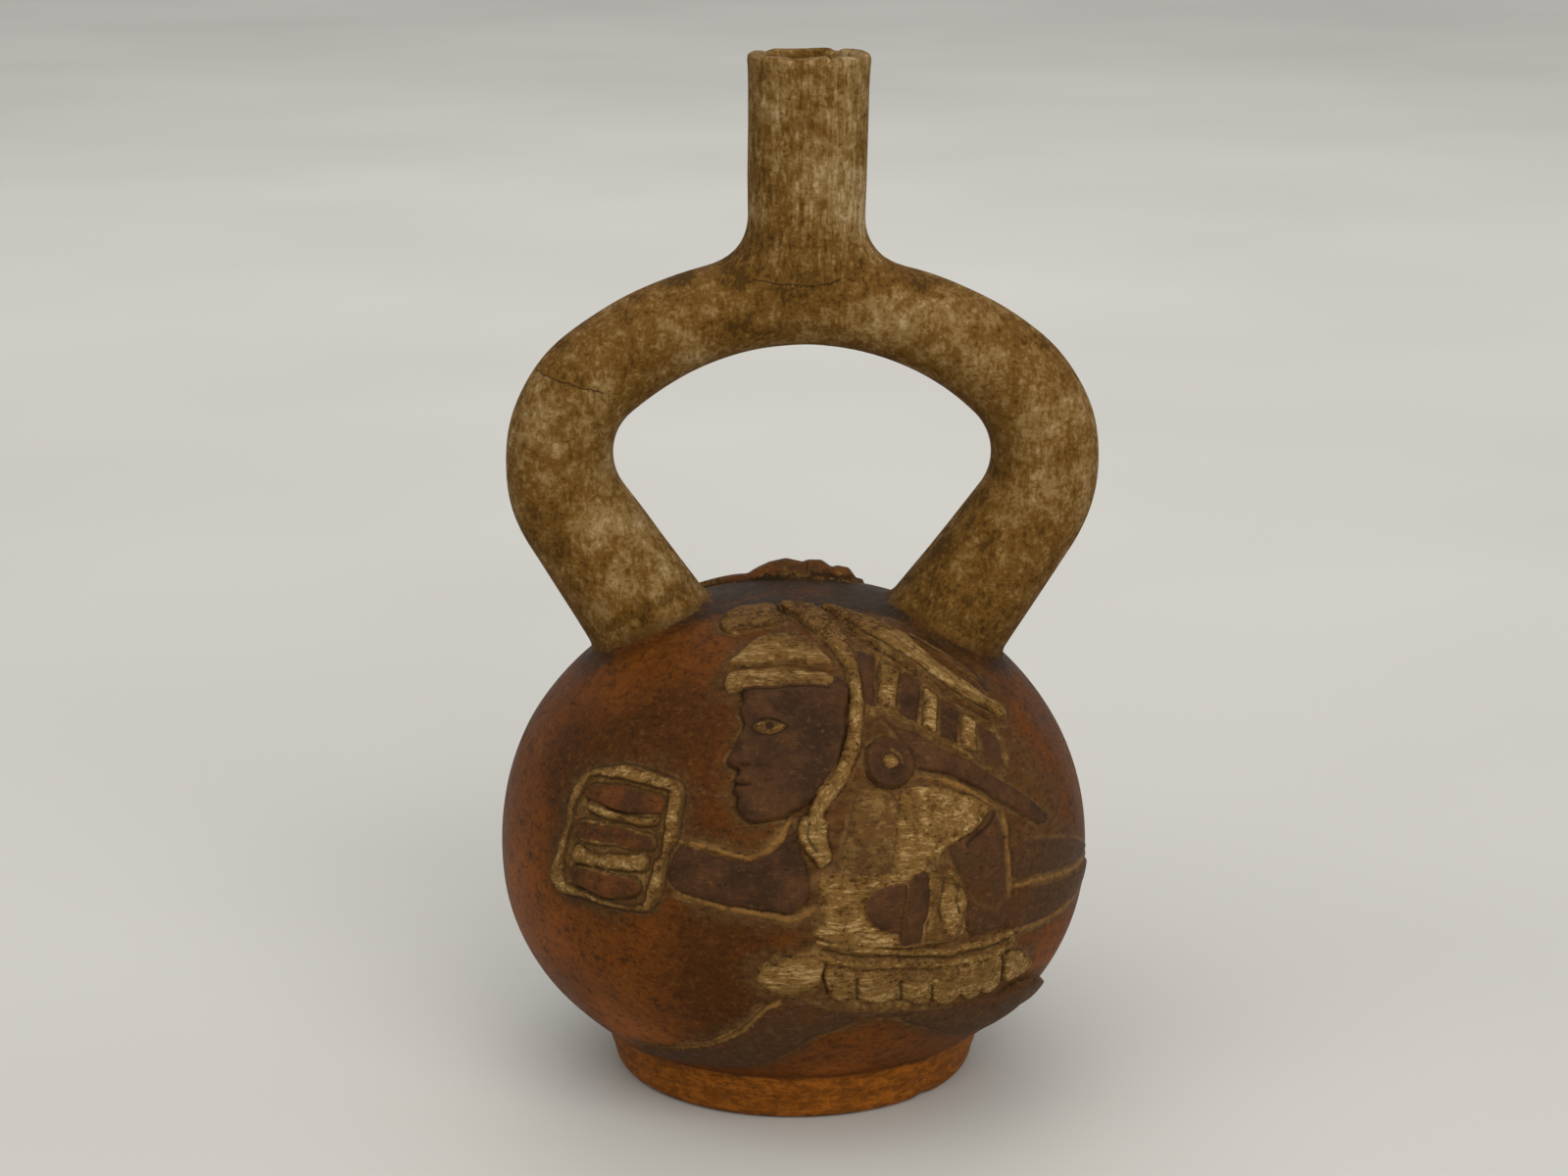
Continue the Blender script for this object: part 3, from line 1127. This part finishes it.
def markSurface(mesh, points):
    # Everything the material needs to know about a spot on the vessel.
    edges = np.empty(len(mesh.edges) * 2, int)
    mesh.edges.foreach_get("vertices", edges)
    edges = edges.reshape(-1, 2)
    fields = {name: np.full(len(points), farOff) for name in (*slips, "rim", "groove", "ground")}
    grain = np.column_stack([points[:, 0], points[:, 2], points[:, 1]])
    height = np.zeros(len(points))
    onHandle = np.minimum(handleDistance(points), spoutDistance(points))
    onChamber = chamberDistance(points)
    room = np.minimum(onHandle, np.minimum(onChamber, footDistance(points))) < -finish["roomDepth"]
    for side in (1, -1):
        facing = np.flatnonzero((points[:, 1] * side < 0) & (onHandle > -3) & (onChamber < 6) & ~room)
        spots = chartOf(points[facing], side)
        figure = modelWarrior(spots, back=side < 0)
        for name in slips:
            fields[name][facing] = figure.slip[name]
        fields["rim"][facing] = figure.rim
        fields["groove"][facing] = figure.groove
        fields["ground"][facing] = insideOf(spots, darkGround)
        height[facing] = figure.height
        grain[facing, :2] = figure.grain
    for name, field in fields.items():
        keep(mesh, name, field)
    keep(mesh, "grain", grain)
    keep(mesh, "proud", height - diffused(height, edges, finish["evenRounds"]))
    keep(mesh, "slipEdge", np.clip(onHandle - onChamber, -farOff, farOff))
    run = alongHandle(points)[1]
    keep(mesh, "handleRun", np.where(points[:, 2] > spout["base"] + 6, 0, run))
    keep(mesh, "room", room.astype(float))
    warm = np.zeros(len(points))
    for blush in blushes:
        off = points - np.array(blush["at"])
        warm += blush["warm"] * np.exp(-(np.linalg.norm(off, axis=1) / blush["size"]) ** 2)
    keep(mesh, "warm", warm)
    side, span = crackAt(points)
    keep(mesh, "crackSide", side)
    keep(mesh, "crackSpan", span)


figureZone = [
    (-64, 38), (-30, 40), (-20, 62), (-28, 94), (14, 95), (64, 55), (76, 20), (84, -12), (76, -32),
    (30, -26), (-18, -36), (-18, -2), (-64, 0),
]


def refineFigure(mesh):
    # The front figure's fine lines need smaller faces than the plain clay.
    points = pointsOf(mesh)
    front = (points[:, 1] < 0) & (chamberDistance(points) < 3) & (handleDistance(points) > 0)
    fine = np.zeros(len(points), bool)
    fine[front] = insideOf(chartOf(points[front], 1), figureZone) < 0
    work = bmesh.new()
    work.from_mesh(mesh)
    work.verts.ensure_lookup_table()
    edges = [edge for edge in work.edges if fine[edge.verts[0].index] and fine[edge.verts[1].index]]
    bmesh.ops.subdivide_edges(work, edges=edges, cuts=1, use_grid_fill=True)
    work.to_mesh(mesh)
    work.free()


def makeVessel(material):
    shell = meshOf("vesselClay", *shellMesh())
    modified(shell, "REMESH", mode="VOXEL", voxel_size=finish["voxel"], adaptivity=0)
    setPoints(shell.data, settled(pointsOf(shell.data)))
    print("plain vessel", len(shell.data.vertices), "vertices")
    refineFigure(shell.data)
    points = carve(pointsOf(shell.data))
    points[:, 2] = np.maximum(points[:, 2], 0)
    setPoints(shell.data, points)
    print("carved", len(points), "vertices")
    triangles = sum(len(face.vertices) - 2 for face in shell.data.polygons)
    modified(shell, "DECIMATE", ratio=finish["triangles"] / triangles)
    for i, (hollowPoints, faces) in enumerate(hollowMeshes()):
        cutter = meshOf(f"room{i}", hollowPoints, faces)
        modified(shell, "BOOLEAN", operation="DIFFERENCE", solver="MANIFOLD", object=cutter)
        bpy.data.objects.remove(cutter)
    mesh = shell.data
    points = pointsOf(mesh)
    markSurface(mesh, points)
    setPoints(mesh, points * metresPerMm + np.array(footCentre))
    mesh.materials.clear()
    mesh.materials.append(material)
    mesh.shade_smooth()
    mesh.set_sharp_from_angle(angle=finish["sharp"])
    print("vessel", len(mesh.vertices), "vertices", len(mesh.polygons), "faces")
    return shell


# The finish

def tone(red, green, blue):
    # A screen colour, 0 to 255, as the shader's linear colour.
    return tuple(
        part / 255 / 12.92 if part <= 10 else ((part / 255 + 0.055) / 1.055) ** 2.4
        for part in (red, green, blue)) + (1.0,)


class Wire:
    # A socket that can be used in sums.
    def __init__(self, finish, socket):
        self.finish = finish
        self.socket = socket

    def sum(self, operation, first, second):
        return self.finish.node("ShaderNodeMath", {"operation": operation}, {0: first, 1: second})

    def __add__(self, other):
        return self.sum("ADD", self, other)

    def __radd__(self, other):
        return self.sum("ADD", other, self)

    def __sub__(self, other):
        return self.sum("SUBTRACT", self, other)

    def __rsub__(self, other):
        return self.sum("SUBTRACT", other, self)

    def __mul__(self, other):
        return self.sum("MULTIPLY", self, other)

    def __rmul__(self, other):
        return self.sum("MULTIPLY", other, self)

    def __neg__(self):
        return self.sum("MULTIPLY", self, -1)

    def __abs__(self):
        return self.finish.node("ShaderNodeMath", {"operation": "ABSOLUTE"}, {0: self})


class Finish:
    # A material made of nodes.
    def __init__(self, name):
        self.material = bpy.data.materials.new(name)
        self.material.use_nodes = True
        self.tree = self.material.node_tree
        self.tree.nodes.clear()

    def node(self, kind, settings, inputs, output=0):
        made = self.tree.nodes.new(kind)
        for key, value in settings.items():
            setattr(made, key, value)
        for key, value in inputs.items():
            if isinstance(value, Wire):
                self.tree.links.new(value.socket, made.inputs[key])
            else:
                made.inputs[key].default_value = value
        return Wire(self, made.outputs[output]) if made.outputs else made

    def field(self, name, output="Fac"):
        return self.node("ShaderNodeAttribute", {"attribute_name": name}, {}, output)

    def mix(self, first, second, share, blend="MIX"):
        settings = {"data_type": "RGBA", "blend_type": blend, "clamp_result": False}
        return self.node("ShaderNodeMix", settings, {0: share, 6: first, 7: second}, 2)

    def vector(self, operation, first, second=(0, 0, 0), output=0):
        return self.node("ShaderNodeVectorMath", {"operation": operation}, {0: first, 1: second}, output)

    def scaled(self, vector, x, y, z):
        return self.vector("MULTIPLY", vector, (x, y, z))

    def turned(self, vector, rotation, scale):
        return self.node("ShaderNodeMapping", {}, {"Vector": vector, "Rotation": rotation, "Scale": scale})

    def noise(self, vector, size, detail=3.0, rough=0.55, warp=0.0):
        # Evenly spread from 0 to 1, with bumps about this many mm across.
        raw = self.node("ShaderNodeTexNoise", {"noise_dimensions": "3D"}, {
            "Vector": vector, "Scale": 1 / size, "Detail": detail, "Roughness": rough, "Distortion": warp})
        return self.step(raw, 0.28, 0.72, "LINEAR")

    def step(self, value, low, high, kind="SMOOTHSTEP"):
        # Rises from 0 at low to 1 at high.
        return self.node("ShaderNodeMapRange", {"interpolation_type": kind}, {
            "Value": value, "From Min": low, "From Max": high, "To Min": 0.0, "To Max": 1.0})

    def inside(self, distance, soft):
        return 1 - self.step(distance, -soft, soft)

    def most(self, first, second):
        return self.node("ShaderNodeMath", {"operation": "MAXIMUM"}, {0: first, 1: second})


def firedClay():
    f = Finish("firedClay")
    place = f.node("ShaderNodeTexCoord", {}, {}, "Object")
    mm = f.scaled(place, *[1 / metresPerMm] * 3)
    flat = f.scaled(mm, 0.28, 0.28, 1)  # strokes that run round the pot
    upright = f.scaled(mm, 1, 1, 0.16)  # strokes that run up the spout
    grain = f.scaled(f.field("grain", "Vector"), 0.15, 1, 1)

    broad = f.noise(mm, 26, 2)
    patch = f.noise(mm, 9, 4, 0.6)
    mottle = f.noise(mm, 3.2, 5, 0.65)
    speck = f.noise(mm, 1.2, 5, 0.75)
    rising = f.turned(mm, (0.5, 0.4, 0.8), (1, 1, 0.3))
    falling = f.turned(mm, (-0.7, 0.9, 0.2), (1, 0.3, 1))
    dabs = f.most(f.noise(rising, 0.95, 2), f.noise(falling, 0.95, 2))  # short brush marks
    dust = f.noise(mm, 0.4, 2)
    strokes = f.noise(flat, 1.3, 5, 0.7, 0.4)
    streaks = f.noise(upright, 1.4, 5, 0.7, 0.3)
    hair = f.noise(flat, 0.6, 4, 0.7, 0.5)
    fibre = f.noise(grain, 0.62, 5, 0.75, 0.3)
    fibreBroad = f.noise(grain, 2.0, 3, 0.6)
    patched, mottled, specked = patch - 0.5, mottle - 0.5, speck - 0.5  # the same, round nil
    ragged = specked * 0.5 + mottled * 0.6
    x, y, z = [f.node("ShaderNodeSeparateXYZ", {}, {0: mm}, axis) for axis in range(3)]

    # Burnished body: brown with redder and brighter clouds and fine burnishing strokes.
    warm = f.field("warm") + (broad - 0.5) * 0.6 + patched * 0.5
    body = f.mix(tone(70, 38, 11), tone(101, 54, 13), f.step(warm, -0.6, 0.4))
    body = f.mix(body, tone(136, 75, 26), f.step(warm, 0.4, 1.4))
    body = f.mix(body, tone(48, 28, 10), f.step(strokes + mottle * 0.6 + dabs * 0.3, 0.95, 1.6) * 0.8)
    body = f.mix(body, tone(140, 80, 30), f.step(strokes + speck * 0.3, 0.35, -0.05) * 0.45)

    # Olive-brown grime gathers round the relief and over the ground behind the figure.
    rim = f.field("rim")
    grime = 1 - f.step(rim + patched * 5 + specked * 2, 0.4, 5.0)
    ground = f.inside(f.field("ground") + patched * 6, 3.5)
    olive = f.mix(tone(58, 39, 19), tone(88, 61, 30), f.step(mottle * 0.5 + strokes * 0.7, 0.35, 0.85))
    body = f.mix(body, olive, f.most(grime * 0.75, ground * 0.7))
    beside = (1 - f.step(rim + mottled * 1.6, 0.5, 1.3)) * f.step(patch + speck * 0.4, 0.45, 0.9)
    body = f.mix(body, tone(114, 86, 50), beside * 0.5)

    # A dark slip crosses the crown between the handle's legs and rings their bases.
    slipEdge = f.field("slipEdge")
    band = f.inside(abs(y + 1) - 13.5 + patched * 6, 2.2) * f.step(z, 92, 99)
    ring = f.inside(slipEdge - 4.2 + mottled * 4, 1.6)
    bandTone = f.mix(tone(38, 28, 15), tone(62, 34, 11), f.step(broad + strokes * 0.8, 0.7, 1.2))
    body = f.mix(body, bandTone, f.most(band, ring * 0.7) * 0.9)

    # Slips
    wear = f.step(f.field("proud") + specked * 0.25, 0.05, 0.4)
    dark = f.mix(tone(52, 34, 21), tone(78, 50, 29), f.step(patch + speck * 0.5 + strokes * 0.3, 0.5, 1.3))
    dark = f.mix(dark, tone(110, 74, 38), wear * 0.12)
    umber = f.mix(tone(92, 52, 24), tone(66, 42, 23), f.step(patch + mottle * 0.5 + strokes * 0.3, 0.5, 1.2))
    umber = f.mix(umber, tone(110, 76, 38), wear * 0.2)
    grey = f.mix(tone(74, 45, 22), tone(64, 45, 28), patch)
    grey = f.mix(grey, tone(108, 78, 42), f.step(mottle + speck * 0.5, 0.8, 1.3) * 0.6)
    edge = f.step(f.field("cream") + mottled * 1.6, -1.3, 0.2)
    worn = f.step(z, 106, 112) * 0.4 + f.step(patch + mottle * 0.5, 0.65, 1.1) * 0.35 + edge * 0.2
    cream = f.mix(tone(170, 138, 88), tone(112, 81, 40), f.step(fibre + fibreBroad * 0.5 + worn, 0.35, 0.9))
    cream = f.mix(cream, tone(66, 42, 17), f.step(speck * 0.6 + fibre + worn, 1.05, 1.5) * 0.9)
    tan = f.mix(tone(88, 60, 28), tone(132, 102, 56), f.step(mottle + fibre * 0.6, 0.7, 1.15) * 0.65)
    tan = f.mix(tan, tone(66, 42, 21), f.step(patch + speck * 0.3, 0.55, 0.95) * 0.6)
    ochre = f.mix(tone(132, 94, 46), tone(94, 66, 34), mottle)

    colour = body
    coats = [("tan", tan, 0.4), ("grey", grey, 0.5), ("umber", umber, 0.35), ("dark", dark, 0.35)]
    for name, slip, soft in coats + [("ochre", ochre, 0.3), ("cream", cream, 0.25)]:
        far = 1.4 if name == "cream" else 1.0
        colour = f.mix(colour, slip, f.inside(f.field(name) + ragged * far, soft))

    # Flecks, and dirt in fine scratches and in what is pressed in.
    fleck = speck + mottled * 0.4
    colour = f.mix(colour, tone(38, 23, 10), f.step(fleck, 0.54, 0.78) * 0.3)
    colour = f.mix(colour, tone(136, 94, 50), f.step(fleck, 0.42, 0.2) * 0.1)
    colour = f.mix(colour, tone(36, 22, 9), f.step(hair + speck * 0.5, 0.9, 1.2) * 0.6)
    colour = f.mix(colour, tone(140, 102, 56), f.step(hair + speck * 0.7, 0.62, 0.3) * 0.2)
    groove = f.inside(f.field("groove") + specked * 0.5, 0.3)
    low = f.step(f.field("proud") - specked * 0.2, -0.08, -0.35)
    colour = f.mix(colour, tone(36, 24, 11), f.most(groove * 0.75, low * 0.75))

    # Foot
    footShare = f.inside(z - 11.4 + (strokes - 0.5) * 1.2, 0.9)
    footStain = strokes + mottle * 0.5 + speck * 0.4
    footTone = f.mix(tone(146, 84, 24), tone(108, 61, 18), f.step(footStain, 0.6, 1.2))
    footTone = f.mix(footTone, tone(64, 36, 12), f.step(hair + speck * 0.5, 0.85, 1.2) * 0.5)
    colour = f.mix(colour, footTone, footShare)
    crease = f.inside(abs(z - 12.0) - 0.6, 0.6)
    colour = f.mix(colour, tone(62, 40, 20), crease * 0.5)

    # Handle and spout: buff slip, stained brown in specks and clouds.
    run = f.field("handleRun")
    buffShare = f.inside(slipEdge + specked * 0.5 + mottled * 1.8, 0.25)
    spoutShare = f.step(z, 184, 192)
    legBase = f.step(run, 70, 118)
    crown = 1 - f.step(run, 8, 30)
    normal = f.node("ShaderNodeNewGeometry", {}, {}, "Normal")
    outward = f.vector("NORMALIZE", f.vector("SUBTRACT", mm, (0, 0, 138)))
    outer = f.vector("DOT_PRODUCT", outward, normal, "Value")
    cloud = broad * 0.25 + patch * 0.5 + mottle * 0.5 + (dabs - 0.65) * 0.5 + specked * 0.3
    right = f.step(x, -35, 35)
    stain = cloud + legBase * (right * 0.27 - 0.02) + crown * 0.12 * (1 - spoutShare)
    stain = stain + (outer * (0.1 - right * 0.13) + 0.11) * (1 - spoutShare)
    stain = stain + spoutShare * ((streaks - 0.5) * 0.6 + 0.12 - f.step(x, 4, 13) * 0.25)
    stain = stain + f.step(z, 180, 186) * f.step(z, 200, 192) * 0.18  # where the spout was luted on
    buff = f.mix(tone(166, 141, 102), tone(132, 103, 60), f.step(stain, 0.15, 0.55))
    buff = f.mix(buff, tone(104, 72, 28), f.step(stain, 0.5, 0.85))
    buff = f.mix(buff, tone(66, 44, 15), f.step(stain, 0.85, 1.15) * 0.85)
    rust = 1 - f.step(0 - slipEdge + mottled * 4, 0.2, 3.6)
    buff = f.mix(buff, tone(64, 40, 16), rust * 0.75)
    colour = f.mix(colour, buff, buffShare)

    # Cracks, and raw clay inside.
    span = 1 - f.step(f.field("crackSpan") + mottled * 1.5, -0.8, 0.2)
    gap = abs(f.field("crackSide") + mottled * 1.2 + specked * 0.3)
    crack = (1 - f.step(gap, 0.05, 0.24)) * span
    colour = f.mix(colour, tone(48, 34, 18), crack * 0.75)
    room = f.field("room")
    colour = f.mix(colour, f.mix(tone(112, 78, 46), tone(86, 58, 34), mottle), room)

    slipped = f.most(f.inside(f.field("cream"), 0.3), buffShare)
    roughness = 0.46 + slipped * 0.16 + patched * 0.12 + specked * 0.1 + room * 0.2
    fine = specked * 0.1 + (dust - 0.5) * 0.025 + mottled * 0.12 + (hair - 0.5) * 0.08
    fine = fine + slipped * ((fibre - 0.5) * 0.16 + (streaks - 0.5) * spoutShare * 0.1) - crack * 0.2
    bump = f.node("ShaderNodeBump", {}, {"Strength": 1.0, "Distance": metresPerMm, "Height": fine})
    shader = f.node("ShaderNodeBsdfPrincipled", {}, {
        "Base Color": colour, "Roughness": roughness, "Normal": bump, "Specular IOR Level": 0.04})
    f.node("ShaderNodeOutputMaterial", {}, {"Surface": shader})
    return f.material


# The studio

studio = dict(
    camera=(-2.2, -750.0, 303.0), pitch=math.radians(14.2), lens=77.625, sensor=36.0, farthest=60,
    floorHalf=14.0, floorTone=tone(192, 189, 181), floorCloud=tone(202, 199, 191), cloudSize=0.4,
    worldTone=tone(238, 240, 240), worldStrength=0.55,
)
lamps = [  # place in metres from the foot; a sun only has a direction
    dict(name="ceiling", kind="SUN", at=(-0.4, -0.8, 1.2), power=0.95, size=1.3),
    dict(name="overhead", kind="AREA", at=(-0.2, 0.1, 1.5), power=2.6, size=1.8),
    dict(name="behind", kind="AREA", at=(0.0, 1.3, 1.2), power=6.2, size=1.6),
    dict(name="room", kind="AREA", at=(0.9, -1.7, 1.15), power=25.0, size=1.8),
]


def placed(point):
    return [part * metresPerMm + centre for part, centre in zip(point, footCentre)]


def makeStudio():
    camera = bpy.data.objects.new("camera", bpy.data.cameras.new("camera"))
    camera.data.sensor_width = studio["sensor"]
    camera.data.lens = studio["lens"]
    camera.data.clip_end = studio["farthest"]
    camera.location = placed(studio["camera"])
    camera.rotation_euler = (math.pi / 2 - studio["pitch"], 0, 0)
    bpy.context.scene.collection.objects.link(camera)
    bpy.context.scene.camera = camera

    half = studio["floorHalf"]
    corners = np.array([(-half, -half, 0), (half, -half, 0), (half, half, 0), (-half, half, 0)])
    floor = meshOf("floor", corners, [(0, 1, 2, 3)])
    f = Finish("paleFloor")
    place = f.node("ShaderNodeTexCoord", {}, {}, "Object")
    cloud = f.noise(place, studio["cloudSize"], 2)
    shade = f.mix(studio["floorTone"], studio["floorCloud"], cloud)
    shader = f.node("ShaderNodeBsdfPrincipled", {}, {"Base Color": shade, "Roughness": 0.55})
    f.node("ShaderNodeOutputMaterial", {}, {"Surface": shader})
    floor.data.materials.append(f.material)

    for lamp in lamps:
        light = bpy.data.lights.new(lamp["name"], lamp["kind"])
        light.energy = lamp["power"]
        if lamp["kind"] == "SUN":
            light.angle = lamp["size"]
        else:
            light.shape = "DISK"
            light.size = lamp["size"]
        thing = bpy.data.objects.new(lamp["name"], light)
        thing.location = lamp["at"]
        target = (0, lamp["at"][1] if lamp["name"] == "behind" else 0, 0.1)
        thing.rotation_euler = (Vector(target) - Vector(lamp["at"])).to_track_quat("-Z", "Y").to_euler()
        bpy.context.scene.collection.objects.link(thing)

    world = bpy.data.worlds.new("softRoom")
    world.use_nodes = True
    backdrop = world.node_tree.nodes["Background"]
    backdrop.inputs["Color"].default_value = studio["worldTone"]
    backdrop.inputs["Strength"].default_value = studio["worldStrength"]
    bpy.context.scene.world = world
    bpy.context.scene.view_settings.view_transform = "Standard"


footCentre = middleOfFoot()
makeStudio()
print("studio ready")
vessel = makeVessel(firedClay())
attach(vessel, "root")
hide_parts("vessel")

print("sizes written")
